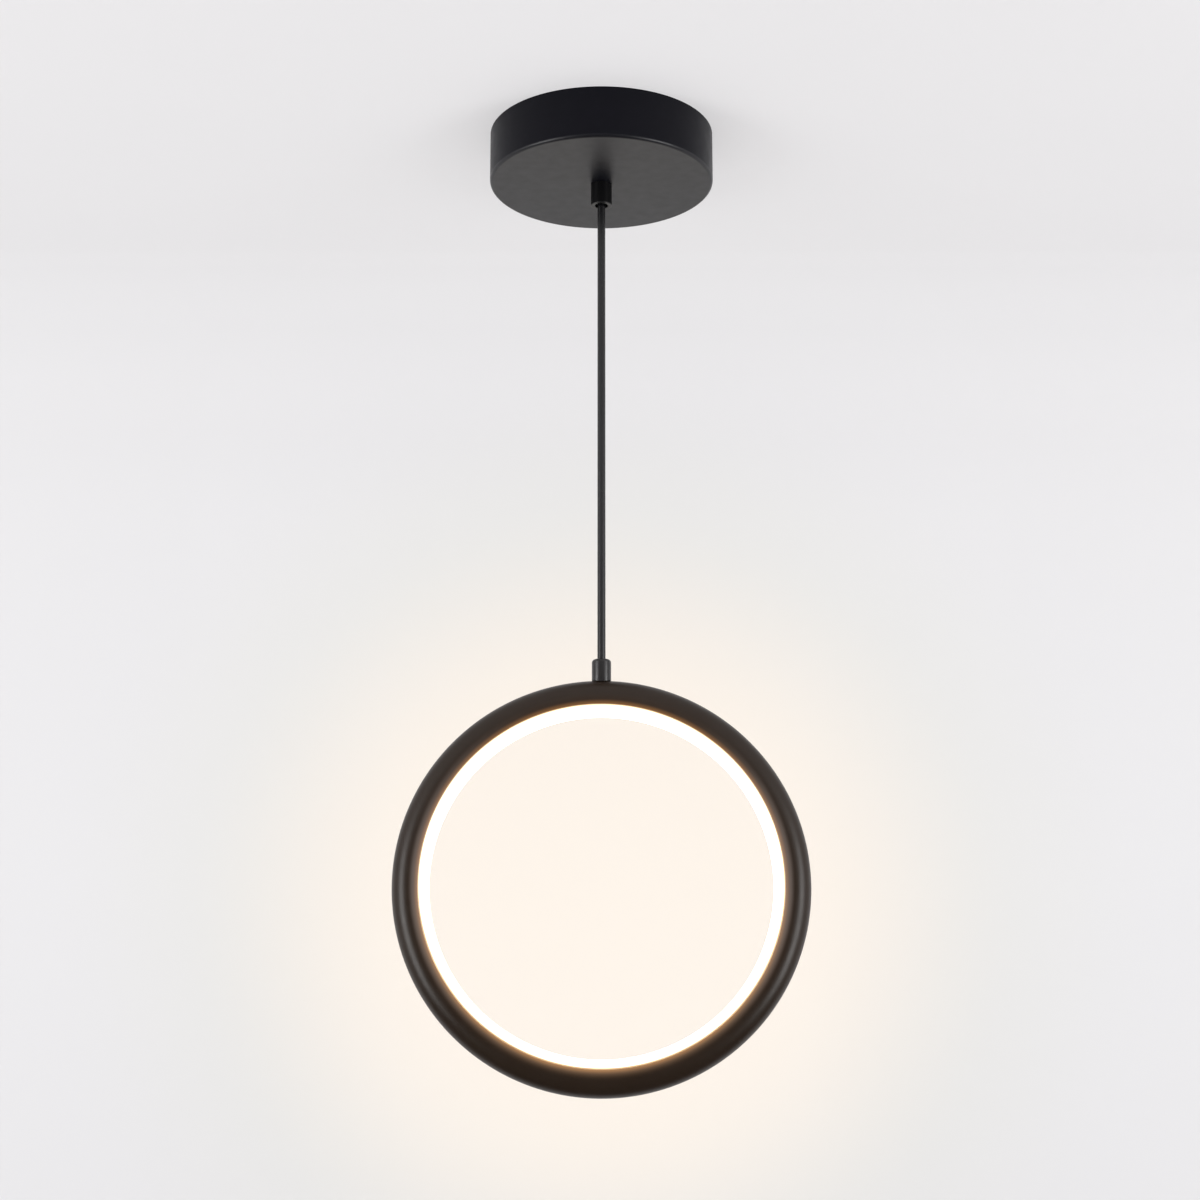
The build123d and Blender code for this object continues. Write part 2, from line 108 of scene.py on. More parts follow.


# pale room surface: part lit by the lamps, part bright of itself, so that contact shadows stay soft.
# the wall also has a painted glow of the ring's light, and can be seen through from behind
def roomMaterial(name, isWall):
    look = stageLook
    material = bpy.data.materials.new(name)
    material.use_nodes = True
    tree = material.node_tree
    tree.nodes.clear()
    diffuse = addNode(tree, "ShaderNodeBsdfDiffuse", {"Color": linear(look["base"])})
    coords = addNode(tree, "ShaderNodeTexCoord").outputs["Object"]
    parts = addNode(tree, "ShaderNodeSeparateXYZ", {}, {0: coords})
    depth = addNode(tree, "ShaderNodeMath", {"operation": "MULTIPLY", 1: -1.0 / look["reach"]},
                    {0: parts.outputs["Z"]})
    plain = addNode(tree, "ShaderNodeValToRGB", {}, {0: depth})
    stops = plain.color_ramp.elements
    for _ in stageLevels[2:]:
        stops.new(0.5)
    for stop, (metres, level) in zip(stops, stageLevels):
        stop.position = metres / look["reach"]
        stop.color = (*[level * share for share in look["tint"]], 1)
    pale = addNode(tree, "ShaderNodeEmission", {}, {"Color": plain})
    surface = addNode(tree, "ShaderNodeAddShader", {}, {0: diffuse, 1: pale})
    if isWall:
        # painted glow of the ring's light on the wall, with a wider painted warm tint round it
        distance = addNode(tree, "ShaderNodeVectorMath", {"operation": "DISTANCE", 1: look["glowCentre"]},
                           {0: coords})
        fade, wide = [addNode(tree, "ShaderNodeMapRange",
                              {"interpolation_type": "SMOOTHSTEP", "From Min": look[part + "Outer"],
                               "From Max": look[part + "Inner"]}, {"Value": distance.outputs["Value"]})
                      for part in ("glow", "fringe")]
        tinted = addNode(tree, "ShaderNodeMix", {"data_type": "RGBA", "blend_type": "MULTIPLY",
                                                 7: (*look["fringe"], 1)}, {0: wide, 6: plain})
        paintedGlowColour = addNode(tree, "ShaderNodeMix", {"data_type": "RGBA", 7: (*look["glow"], 1)},
                       {0: fade, 6: tinted.outputs[2]})
        tree.links.new(paintedGlowColour.outputs[2], pale.inputs["Color"])
        back = addNode(tree, "ShaderNodeNewGeometry").outputs["Backfacing"]
        clear = addNode(tree, "ShaderNodeBsdfTransparent")
        surface = addNode(tree, "ShaderNodeMixShader", {}, {0: back, 1: surface, 2: clear})
    addNode(tree, "ShaderNodeOutputMaterial", {}, {"Surface": surface})
    return material


# ceiling with a hole that the canopy covers, a cove, and the wall behind the lamp
def makeRoom():
    s = Named(**stageSizes)
    room = bmesh.new()
    inner, outer = [], []
    for step in range(s.holeSteps):
        turn = 2 * math.pi * step / s.holeSteps
        x, y = math.cos(turn), math.sin(turn)
        inner.append(room.verts.new((s.hole * x, s.hole * y, s.ceilingZ)))
        reach = s.square / max(abs(x), abs(y))
        outer.append(room.verts.new((reach * x, reach * y, s.ceilingZ)))
    for step in range(s.holeSteps):
        after = (step + 1) % s.holeSteps
        room.faces.new((inner[step], inner[after], outer[after], outer[step]))
    coveY = s.wallY - s.coveRadius
    ends = [-s.half, -s.square, s.square, s.half]
    rows = [s.front, -s.square, s.square, coveY]
    for i in range(3):
        for j in range(3):
            if (i, j) != (1, 1):
                room.faces.new([room.verts.new((ends[i + a], rows[j + b], s.ceilingZ))
                                for a, b in ((0, 0), (1, 0), (1, 1), (0, 1))])
    turns = [math.pi / 2 * step / s.coveSteps for step in range(s.coveSteps + 1)]
    line = [(coveY + s.coveRadius * math.sin(turn), s.ceilingZ - s.coveRadius * (1 - math.cos(turn)))
            for turn in turns] + [(s.wallY, s.floorZ)]
    for first, second in zip(line, line[1:]):
        room.faces.new([room.verts.new((side * s.half, *point))
                        for side, point in ((-1, first), (1, first), (1, second), (-1, second))])
    bmesh.ops.remove_doubles(room, verts=room.verts, dist=1e-5)
    for face in room.faces:
        middle = face.calc_center_median()
        inward = Vector((0, -1, -0.5)) - Vector((0, middle.y, middle.z))
        if face.normal.dot(inward) < 0:
            face.normal_flip()
        face.smooth = True
    return meshFrom(room, "ceilingAndWall")


meshObject("ceilingAndWall", makeRoom(), roomMaterial("paintedPlaster", True))
floorMesh = bpy.data.meshes.new("floor")
floorMesh.from_pydata([(x * stageSizes["floorHalf"], y * stageSizes["floorHalf"], stageSizes["floorZ"])
                       for x, y in ((-1, -1), (1, -1), (1, 1), (-1, 1))], [], [(0, 1, 2, 3)])
meshObject("floor", floorMesh, roomMaterial("paleFloor", False))

# dark screen in front, seen only in reflections, a painted dark reflection that stands in for shade in front:
# keeps black paint deep where it faces forwards and down
screenSizes = {"y": -2.5, "near": 0.3, "halfWidth": 2.2, "low": -1.29, "high": 1.4, "colour": "#1C1C1C"}


def makeScreen():
    s = Named(**screenSizes)
    line = [(s.y, s.high), (s.y, s.low), (s.near, s.low)]
    mesh = bpy.data.meshes.new("darkScreen")
    mesh.from_pydata([(x, y, z) for y, z in line for x in (-s.halfWidth, s.halfWidth)], [],
                     [(0, 1, 3, 2), (2, 3, 5, 4)])
    darkReflectionMaterial = bpy.data.materials.new("paintedDarkReflection")
    darkReflectionMaterial.use_nodes = True
    shader = darkReflectionMaterial.node_tree.nodes["Principled BSDF"]
    shader.inputs["Base Color"].default_value = linear(s.colour)
    shader.inputs["Roughness"].default_value = 1.0
    screen = meshObject("darkScreen", mesh, darkReflectionMaterial)
    screen.visible_camera = screen.visible_diffuse = screen.visible_shadow = False


makeScreen()

worldLook = {"seen": "#EAEAEC", "fill": "#C8C8CC", "fillStrength": 0.8}
world = bpy.data.worlds.new("studio")
scene.world = world
world.use_nodes = True
worldTree = world.node_tree
worldTree.nodes.clear()
path = addNode(worldTree, "ShaderNodeLightPath")
seenDirect = addNode(worldTree, "ShaderNodeMath", {"operation": "MAXIMUM"},
                     {0: path.outputs["Is Camera Ray"], 1: path.outputs["Is Glossy Ray"]})
seenAny = addNode(worldTree, "ShaderNodeMath", {"operation": "MAXIMUM"},
                  {0: seenDirect, 1: path.outputs["Is Transmission Ray"]})
fill = addNode(worldTree, "ShaderNodeBackground",
               {"Color": linear(worldLook["fill"]), "Strength": worldLook["fillStrength"]})
seen = addNode(worldTree, "ShaderNodeBackground", {"Color": linear(worldLook["seen"]), "Strength": 1.0})
worldMix = addNode(worldTree, "ShaderNodeMixShader", {}, {0: seenAny, 1: fill, 2: seen})
addNode(worldTree, "ShaderNodeOutputWorld", {}, {"Surface": worldMix})

# soft panels: size is (width, height) in metres, power in watts
lightSizes = {
    "sidePanelLeft": {"place": (-1.35, -0.85, -0.62), "aim": (0, 0, -0.62), "size": (0.7, 1.1), "power": 15},
    "sidePanelRight": {"place": (1.35, -0.85, -0.62), "aim": (0, 0, -0.62), "size": (0.7, 1.1), "power": 15},
    "overhead": {"place": (0.4, -0.5, 1.6), "aim": (0, 0, 0), "size": (1.2, 1.2), "power": 14}}
for name, values in lightSizes.items():
    s = Named(**values)
    panel = bpy.data.lights.new(name, "AREA")
    panel.shape = "RECTANGLE"
    panel.size, panel.size_y = s.size
    panel.energy = s.power
    light = bpy.data.objects.new(name, panel)
    light.location = s.place
    light.rotation_euler = (Vector(s.aim) - Vector(s.place)).to_track_quat("-Z", "Y").to_euler()
    light.visible_camera = False
    scene.collection.objects.link(light)


print("materials")


# one finish: two close colours in soft patches, roughness that varies a little, and a fine relief.
# sizes are real millimetres: patch, sheen and grain are how wide one spot of each is
def finish(name, colours, roughness, patch=20.0, sheen=8.0, grain=0.5, relief=0.004, stretch=(1, 1, 1),
           settings={}):
    material = bpy.data.materials.new(name)
    material.use_nodes = True
    tree = material.node_tree
    shader = tree.nodes["Principled BSDF"]
    coords = addNode(tree, "ShaderNodeTexCoord")
    mapping = addNode(tree, "ShaderNodeMapping", {"Scale": stretch}, {"Vector": coords.outputs["Object"]})
    patches = addNode(tree, "ShaderNodeTexNoise", {"Scale": 1000 / patch, "Detail": 3.0}, {"Vector": mapping})
    tint = addNode(tree, "ShaderNodeMix", {"data_type": "RGBA", 6: linear(colours[0]), 7: linear(colours[1])},
                   {0: patches})
    tree.links.new(tint.outputs[2], shader.inputs["Base Color"])
    shine = addNode(tree, "ShaderNodeTexNoise", {"Scale": 1000 / sheen, "Detail": 4.0}, {"Vector": mapping})
    rough = addNode(tree, "ShaderNodeMapRange", {"From Min": 0.3, "From Max": 0.7, "To Min": roughness[0],
                                                 "To Max": roughness[1]}, {"Value": shine})
    tree.links.new(rough.outputs[0], shader.inputs["Roughness"])
    grains = addNode(tree, "ShaderNodeTexNoise", {"Scale": 1000 / grain, "Detail": 2.0}, {"Vector": mapping})
    bump = addNode(tree, "ShaderNodeBump", {"Strength": 1.0, "Distance": relief / 1000}, {"Height": grains})
    tree.links.new(bump.outputs[0], shader.inputs["Normal"])
    for key, value in settings.items():
        shader.inputs[key].default_value = value
    return material


# reflection strength set by height: low on the upright wall and raised below a height, in metres, so that a
# painted highlight and a painted reflection show there; the reflections are rendered, their strength is
# placed by height
def reflectionRaisedBelow(material, dull, glossy, fromZ, toZ):
    tree = material.node_tree
    coords = addNode(tree, "ShaderNodeTexCoord")
    parts = addNode(tree, "ShaderNodeSeparateXYZ", {}, {0: coords.outputs["Object"]})
    level = addNode(tree, "ShaderNodeMapRange",
                    {"interpolation_type": "SMOOTHSTEP", "From Min": fromZ, "From Max": toZ,
                     "To Min": dull, "To Max": glossy}, {"Value": parts.outputs["Z"]})
    tree.links.new(level.outputs[0], tree.nodes["Principled BSDF"].inputs["Specular IOR Level"])


# lays another colour over a finish, as much as a share says
def layOver(material, colour, share):
    tree = material.node_tree
    base = tree.nodes["Principled BSDF"].inputs["Base Color"]
    both = addNode(tree, "ShaderNodeMix", {"data_type": "RGBA", 7: linear(colour)},
                   {0: share, 6: base.links[0].from_socket})
    tree.links.new(both.outputs[2], base)


# polyester powder coat on drawn steel: satin black with a fine orange peel, deep on the wall, with a painted
# highlight round the lower edge and a painted soft grey reflection of the room on the underside, where the
# reflection strength is raised by height
canopyPaint = finish("powderCoatCanopy", ("#08080F", "#0B0B12"), (0.36, 0.42), grain=1.2, relief=0.003)
reflectionRaisedBelow(canopyPaint, 0.1, 0.45, -0.0354, -0.0368)

# inside the cup the coat is only a mist over the bare zinc of the sheet: within a radius and above
# the floor, in metres, with patches about 11 mm wide where it covers less
mistLook = {"colour": "#77797B", "radius": 0.0792, "floorZ": -0.0372, "scale": 90.0, "noise": (0.35, 0.65),
            "share": (0.6, 1.0)}


def mistInside(material):
    look = mistLook
    tree = material.node_tree
    coords = addNode(tree, "ShaderNodeTexCoord").outputs["Object"]
    flat = addNode(tree, "ShaderNodeVectorMath", {"operation": "MULTIPLY", 1: (1, 1, 0)}, {0: coords})
    reach = addNode(tree, "ShaderNodeVectorMath", {"operation": "LENGTH"}, {0: flat})
    within = addNode(tree, "ShaderNodeMath", {"operation": "LESS_THAN", 1: look["radius"]},
                     {0: reach.outputs["Value"]})
    parts = addNode(tree, "ShaderNodeSeparateXYZ", {}, {0: coords})
    above = addNode(tree, "ShaderNodeMath", {"operation": "GREATER_THAN", 1: look["floorZ"]},
                    {0: parts.outputs["Z"]})
    mist = addNode(tree, "ShaderNodeMath", {"operation": "MULTIPLY"}, {0: within, 1: above})
    bare = addNode(tree, "ShaderNodeTexNoise", {"Scale": look["scale"], "Detail": 5.0}, {"Vector": coords})
    share = addNode(tree, "ShaderNodeMapRange", {"From Min": look["noise"][0], "From Max": look["noise"][1],
                                                 "To Min": look["share"][0], "To Max": look["share"][1]},
                    {"Value": bare})
    amount = addNode(tree, "ShaderNodeMath", {"operation": "MULTIPLY"}, {0: mist, 1: share})
    layOver(material, look["colour"], amount)


mistInside(canopyPaint)
# the same coat on the turned brass sleeve: near black outside, with a lighter ring where its end faces down,
# a painted highlight from reflection strength raised at that end face
glandPaint = finish("powderCoatSleeve", ("#0B0B0C", "#0E0E0F"), (0.36, 0.44), grain=0.9, relief=0.003)
reflectionRaisedBelow(glandPaint, 0.1, 0.5, -0.0539, -0.0543)
# and on the ferrule, where it is smoother and shows the tall lights as two soft bands
ferrulePaint = finish("powderCoatFerrule", ("#151212", "#191616"), (0.27, 0.33), grain=0.9, relief=0.003,
                      settings={"Specular IOR Level": 0.5})
# powder coat on the rolled aluminium channel: smoother, so that tall lights show as soft bands; its black
# base is tinted warm brown as painted warm light from the opal
ringPaint = finish("powderCoatRing", ("#231910", "#271C13"), (0.32, 0.38), grain=1.4, relief=0.003,
                   settings={"Specular IOR Level": 0.3})
# zinc plated steel strip: bluish grey, with faint rolling lines along the strip
bracketZinc = finish("zincPlatedStrip", ("#A9ADB0", "#BFC2C4"), (0.3, 0.45), patch=6, sheen=3,
                     relief=0.006, stretch=(0.15, 1, 1), settings={"Metallic": 1.0})
# black oxide on cut steel screws: dark, slightly oily sheen
screwSteel = finish("blackOxideSteel", ("#2A2A2C", "#353537"), (0.3, 0.42), patch=2, sheen=1,
                    grain=0.3, settings={"Metallic": 0.9})
# turned brass nut, bare
nutBrass = finish("turnedBrass", ("#C9A765", "#D6B677"), (0.24, 0.34), patch=3, sheen=2,
                  grain=0.3, settings={"Metallic": 1.0})
# zinc plated nuts and studs
nutZinc = finish("zincPlatedNut", ("#B4B7BA", "#C6C8CA"), (0.25, 0.38), patch=2, sheen=1,
                 grain=0.3, settings={"Metallic": 1.0})
# extruded PVC sheath: smooth and faintly glossy, with long drag marks from the die
cordPvc = finish("extrudedPvcSheath", ("#0A0A0C", "#0E0E10"), (0.24, 0.3), patch=10, sheen=5,
                 stretch=(1, 1, 0.08), settings={"Specular IOR Level": 0.5})
# moulded silicone: deep black, soft sheen
grommetSilicone = finish("mouldedSilicone", ("#0C0C0C", "#101010"), (0.55, 0.65), grain=0.6,
                         settings={"Specular IOR Level": 0.3})
# moulded flame-retardant polycarbonate: white, fine spark-eroded texture
driverWhite = finish("mouldedPolycarbonate", ("#E4E4E1", "#ECECE9"), (0.42, 0.52), relief=0.01,
                     settings={"IOR": 1.58})
# glass-epoxy circuit board with its green resist
boardGreen = finish("epoxyCircuitBoard", ("#1D5B36", "#246A40"), (0.3, 0.4), patch=4)
# natural nylon of the terminal block: milky, lets a little light in
terminalNylon = finish("naturalNylon", ("#DAD8CC", "#E6E4DA"), (0.38, 0.48), grain=0.6, relief=0.006,
                       settings={"IOR": 1.53, "Subsurface Weight": 0.25, "Subsurface Scale": 0.002})
# zinc plated clamp screws
terminalSteel = finish("platedClampScrew", ("#B9BBBD", "#CBCDCF"), (0.22, 0.34), patch=2, sheen=1,
                       grain=0.3, settings={"Metallic": 1.0})
# white solder resist on the aluminium LED strip
ledWhite = finish("whiteSolderResist", ("#EDEDEA", "#F4F4F2"), (0.35, 0.45), relief=0.003)
# yellow phosphor gel over the chips, which glow
phosphor = finish("phosphorGel", ("#F0C53C", "#F5D050"), (0.3, 0.4), patch=1, grain=0.2,
                  settings={"Emission Strength": 2.0, "Emission Color": linear("#FFE9B8")})
# PVC wire insulation
leadLooks = {"brown": ("#5B3420", "#683D27"), "blue": ("#1F4E8C", "#285A9B"), "red": ("#A3241C", "#B02D24"),
             "black": ("#161616", "#1B1B1B"), "greenYellow": ("#2E7A33", "#358539")}
leads = {name: finish(name + "Insulation", colours, (0.36, 0.44), patch=4, grain=0.4, relief=0.003)
         for name, colours in leadLooks.items()}

# the earth lead's two yellow stripes run along it, from its own UV: shares of a turn
stripeLook = {"colour": "#E6C62A", "halfPitch": 0.25, "from": 0.14}


def addStripes(material):
    tree = material.node_tree
    ownMap = addNode(tree, "ShaderNodeUVMap", {"uv_map": "alongWire"})
    parts = addNode(tree, "ShaderNodeSeparateXYZ", {}, {0: ownMap})
    wave = addNode(tree, "ShaderNodeMath", {"operation": "PINGPONG", 1: stripeLook["halfPitch"]},
                   {0: parts.outputs[1]})
    stripe = addNode(tree, "ShaderNodeMath", {"operation": "GREATER_THAN", 1: stripeLook["from"]}, {0: wave})
    layOver(material, stripeLook["colour"], stripe)


addStripes(leads["greenYellow"])

ringSizes = {"centreZ": -544.5, "centreRadius": 127.5, "tube": 12.5, "segments": 320}


# angle round the ring's tube, in radians: 0 in the middle of the opal, half pi at the front and back.
# the second result is the direction from the ring's axis
def tubeAngle(tree):
    s = Named(**ringSizes)
    coords = addNode(tree, "ShaderNodeTexCoord")
    centred = addNode(tree, "ShaderNodeVectorMath", {"operation": "ADD", 1: (0, 0, -s.centreZ / 1000)},
                      {0: coords.outputs["Object"]})
    flat = addNode(tree, "ShaderNodeVectorMath", {"operation": "MULTIPLY", 1: (1, 0, 1)}, {0: centred})
    radius = addNode(tree, "ShaderNodeVectorMath", {"operation": "LENGTH"}, {0: flat})
    inward = addNode(tree, "ShaderNodeMath", {"operation": "SUBTRACT", 0: s.centreRadius / 1000},
                     {1: radius.outputs["Value"]})
    parts = addNode(tree, "ShaderNodeSeparateXYZ", {}, {0: centred})
    sideways = addNode(tree, "ShaderNodeMath", {"operation": "ABSOLUTE"}, {0: parts.outputs["Y"]})
    angle = addNode(tree, "ShaderNodeMath", {"operation": "ARCTAN2"}, {0: sideways, 1: inward})
    toAxis = addNode(tree, "ShaderNodeVectorMath", {"operation": "NORMALIZE"}, {0: flat})
    return angle, addNode(tree, "ShaderNodeSeparateXYZ", {}, {0: toAxis})


# painted light of the opal on the paint beside it, added as emission by angle round the tube: degrees round
# the tube where it starts and where it is full, how sharply it rises, and its linear colour
paintedSpillLook = {"lip": (80, 64, 1.0, (0.16, 0.07, 0.02)), "sides": (95, 77, 1.0, (0.105, 0.085, 0.075)),
             "above": (100, 80, 1.0, (0.015, 0.011, 0.009)), "below": (112, 62, 3.0, (0.235, 0.125, 0.057))}


def addPaintedSpill(material):
    tree = material.node_tree
    shader = tree.nodes["Principled BSDF"]
    angle, direction = tubeAngle(tree)
    shares = {"sides": addNode(tree, "ShaderNodeMath", {"operation": "POWER", 1: 4.0},
                               {0: direction.outputs["X"]})}
    for part, sign in (("above", 1.0), ("below", -1.0)):
        shares[part] = addNode(tree, "ShaderNodeMath", {"operation": "MULTIPLY", 1: sign, "use_clamp": True},
                               {0: direction.outputs["Z"]})
    total = addNode(tree, "ShaderNodeCombineXYZ")
    for part, (start, end, sharpness, colour) in paintedSpillLook.items():
        ramp = addNode(tree, "ShaderNodeMapRange",
                       {"interpolation_type": "SMOOTHSTEP", "From Min": math.radians(start),
                        "From Max": math.radians(end)}, {"Value": angle})
        amount = addNode(tree, "ShaderNodeMath", {"operation": "POWER", 1: sharpness}, {0: ramp})
        if part in shares:
            amount = addNode(tree, "ShaderNodeMath", {"operation": "MULTIPLY"}, {0: amount, 1: shares[part]})
        tinted = addNode(tree, "ShaderNodeVectorMath", {"operation": "SCALE", 0: colour}, {"Scale": amount})
        total = addNode(tree, "ShaderNodeVectorMath", {"operation": "ADD"}, {0: total, 1: tinted})
    tree.links.new(total.outputs[0], shader.inputs["Emission Color"])
    shader.inputs["Emission Strength"].default_value = 1.0


addPaintedSpill(ringPaint)

# opal acrylic lit from behind: white in its middle, and painted amber and dimmer towards the channel's lips,
# a painted shade of the lips with a painted amber fringe, between two angles round the tube in degrees
opalLook = {"middle": "#FFF3E2", "between": "#F2D9A8", "edge": "#4A3018", "edgeBase": "#6B4A28",
            "strength": 2.4, "edgeFrom": 64.5, "edgeTo": 52.0}


def opalAcrylic():
    material = finish("opalAcrylic", ("#F4F1EA", "#F7F4EE"), (0.3, 0.36), grain=1.0, relief=0.002)
    tree = material.node_tree
    shader = tree.nodes["Principled BSDF"]
    lit = addNode(tree, "ShaderNodeMapRange",
                  {"interpolation_type": "SMOOTHSTEP", "From Min": math.radians(opalLook["edgeFrom"]),
                   "From Max": math.radians(opalLook["edgeTo"])}, {"Value": tubeAngle(tree)[0]})
    light = addNode(tree, "ShaderNodeValToRGB", {}, {0: lit})
    stops = light.color_ramp.elements
    stops[0].color, stops[1].color = linear(opalLook["edge"]), linear(opalLook["middle"])
    stops.new(0.5).color = linear(opalLook["between"])
    milky = shader.inputs["Base Color"].links[0].from_socket
    body = addNode(tree, "ShaderNodeMix", {"data_type": "RGBA", 6: linear(opalLook["edgeBase"])},
                   {0: lit, 7: milky})
    tree.links.new(body.outputs[2], shader.inputs["Base Color"])
    tree.links.new(light.outputs[0], shader.inputs["Emission Color"])
    shader.inputs["Emission Strength"].default_value = opalLook["strength"]
    return material


opal = opalAcrylic()


print("tools for shapes")
sharpAngle = 32  # degrees between two faces from which their edge stays sharp
flatAngle = 25  # and for softened boxes: flat up to their bevels, while round holes stay round


# corners are (across, up, radius); each corner with a radius becomes a small arc
def roundCorners(corners, steps):
    points = []
    for index, (x, y, radius) in enumerate(corners):
        corner = Vector((x, y))
        if radius <= 0:
            points.append(corner)
            continue
        toBefore = (Vector(corners[index - 1][:2]) - corner).normalized()
        toAfter = (Vector(corners[(index + 1) % len(corners)][:2]) - corner).normalized()
        half = toBefore.angle(toAfter) / 2
        centre = corner + (toBefore + toAfter).normalized() * (radius / math.sin(half))
        start = corner + toBefore * (radius / math.tan(half)) - centre
        end = corner + toAfter * (radius / math.tan(half)) - centre
        first = math.atan2(start.y, start.x)
        turn = (math.atan2(end.y, end.x) - first + math.pi) % (2 * math.pi) - math.pi
        for step in range(steps + 1):
            angle = first + turn * step / steps
            points.append(centre + Vector((math.cos(angle), math.sin(angle))) * radius)
    return points


# a modifier's result as the object's own mesh
def bake(piece):
    result = bpy.data.meshes.new_from_object(piece.evaluated_get(bpy.context.evaluated_depsgraph_get()))
    piece.modifiers.clear()
    piece.data = result
    return piece


# only the mesh of a piece
def shapeOf(piece):
    mesh = piece.data
    bpy.data.objects.remove(piece)
    return mesh


@contextmanager
def editMesh(piece):
    work = bmesh.new()
    work.from_mesh(piece.data)
    yield work
    work.to_mesh(piece.data)
    work.free()


# joins doubles, turns faces outwards, then smooth faces that break at sharp edges
def tidyMesh(piece, sharp=sharpAngle, turnOut=True):
    with editMesh(piece) as work:
        bmesh.ops.remove_doubles(work, verts=work.verts, dist=2e-6)
        if turnOut:
            bmesh.ops.recalc_face_normals(work, faces=work.faces)
    piece.data.shade_smooth()
    piece.data.set_sharp_from_angle(angle=math.radians(sharp))
    piece.modifiers.new("evenNormals", "WEIGHTED_NORMAL").keep_sharp = True
    return bake(piece)


# node tree with its own inputs, then the turn, place and finish that all have; the caller fills in the middle
def startTree(name, inputs):
    tree = bpy.data.node_groups.new(name, "GeometryNodeTree")
    for label, kind in {"Geometry": "Geometry", **inputs, "Turn": "Rotation", "Place": "Vector",
                        "Finish": "Material"}.items():
        tree.interface.new_socket(label, in_out="INPUT", socket_type="NodeSocket" + kind)
    tree.interface.new_socket("Geometry", in_out="OUTPUT", socket_type="NodeSocketGeometry")
    return tree, tree.nodes.new("NodeGroupInput").outputs


def endTree(tree, given, shape):
    placed = addNode(tree, "GeometryNodeTransform", {},
                     {"Geometry": shape, "Rotation": given["Turn"], "Translation": given["Place"]})
    real = addNode(tree, "GeometryNodeRealizeInstances", {}, {0: placed})
    coloured = addNode(tree, "GeometryNodeSetMaterial", {}, {"Geometry": real, "Material": given["Finish"]})
    addNode(tree, "NodeGroupOutput", {}, {0: coloured})
    return tree


# sweeps a section round a circle: the rule of every turned, drawn or rolled piece
def sweepTree():
    tree, given = startTree("sweepRound", {"Centre radius": "Float", "Segments": "Int"})
    section = addNode(tree, "GeometryNodeMeshToCurve", {}, {0: given["Geometry"]})
    circle = addNode(tree, "GeometryNodeCurvePrimitiveCircle", {},
                     {"Resolution": given["Segments"], "Radius": given["Centre radius"]})
    swept = addNode(tree, "GeometryNodeCurveToMesh", {}, {"Curve": circle, "Profile Curve": section})
    merged = addNode(tree, "GeometryNodeMergeByDistance", {"Distance": 1e-6}, {"Geometry": swept})
    return endTree(tree, given, merged)


# repeats one shape round the Z axis
def roundTree():
    tree, given = startTree("repeatRound", {"Count": "Int"})
    points = addNode(tree, "GeometryNodeMeshLine", {"Offset": (0, 0, 0)}, {"Count": given["Count"]})
    number = addNode(tree, "GeometryNodeInputIndex")
    share = addNode(tree, "ShaderNodeMath", {"operation": "DIVIDE", 0: math.tau}, {1: given["Count"]})
    angle = addNode(tree, "ShaderNodeMath", {"operation": "MULTIPLY"}, {0: number, 1: share})
    about = addNode(tree, "FunctionNodeAxisAngleToRotation", {"Axis": (0, 0, 1)}, {"Angle": angle})
    copies = addNode(tree, "GeometryNodeInstanceOnPoints", {},
                     {"Points": points, "Instance": given["Geometry"], "Rotation": about})
    return endTree(tree, given, copies)


# repeats one shape on a grid of places
def gridTree():
    tree, given = startTree("repeatGrid", {"Columns": "Int", "Rows": "Int", "Pitch across": "Float",
                                           "Pitch along": "Float"})
    spans = []
    for count, pitch in (("Columns", "Pitch across"), ("Rows", "Pitch along")):
        gaps = addNode(tree, "ShaderNodeMath", {"operation": "SUBTRACT", 1: 1.0}, {0: given[count]})
        spans.append(addNode(tree, "ShaderNodeMath", {"operation": "MULTIPLY"}, {0: gaps, 1: given[pitch]}))
    grid = addNode(tree, "GeometryNodeMeshGrid", {},
                   {"Size X": spans[0], "Size Y": spans[1], "Vertices X": given["Columns"],
                    "Vertices Y": given["Rows"]})
    return endTree(tree, given, addNode(tree, "GeometryNodeInstanceOnPoints", {},
                                        {"Points": grid, "Instance": given["Geometry"]}))


trees = {"sweep": sweepTree(), "round": roundTree(), "grid": gridTree()}


# runs one of the trees on a mesh, with its inputs set by their identifiers; the place is in millimetres
def runTree(name, mesh, treeName, material, values, turn=(0, 0, 0), place=(0, 0, 0)):
    values = {**values, "Turn": turn, "Place": tuple(value / 1000 for value in place), "Finish": material}
    piece = meshObject(name, mesh)
    modifier = piece.modifiers.new(treeName, "NODES")
    modifier.node_group = trees[treeName]
    for item in trees[treeName].interface.items_tree:
        if item.in_out == "INPUT" and item.name in values:
            modifier[item.identifier] = values[item.name]
    return bake(piece)


# a section in millimetres, (radius, height, corner radius), goes clockwise and is swept round the Z axis
def sweep(name, corners, material, segments=96, steps=5, sharp=sharpAngle, centre=0, **pose):
    points = roundCorners(corners, steps)
    section = bpy.data.meshes.new(name)
    section.from_pydata([((p.x - centre) / 1000, -p.y / 1000, 0) for p in points],
                        [(i, (i + 1) % len(points)) for i in range(len(points))], [])
    values = {"Centre radius": centre / 1000 if centre else 1e-7, "Segments": segments}
    return tidyMesh(runTree(name, section, "sweep", material, values, **pose), sharp)


# a plain ring, or a disc where the hole is 0; edges are the corner radii, from the hole's top clockwise
def turned(name, hole, radius, high, low, edges, material, segments=96, steps=5):
    corners = list(zip((hole, radius, radius, hole), (high, high, low, low), edges))
    return sweep(name, corners, material, segments, steps)


# crests and roots of a thread, as corners of a section from one height down to another
def threadLine(radius, depth, pitch, high, low):
    line = []
    while high > low:
        line += [(radius, high, 0), (radius - depth, high - pitch / 2, 0)]
        high -= pitch
    return line


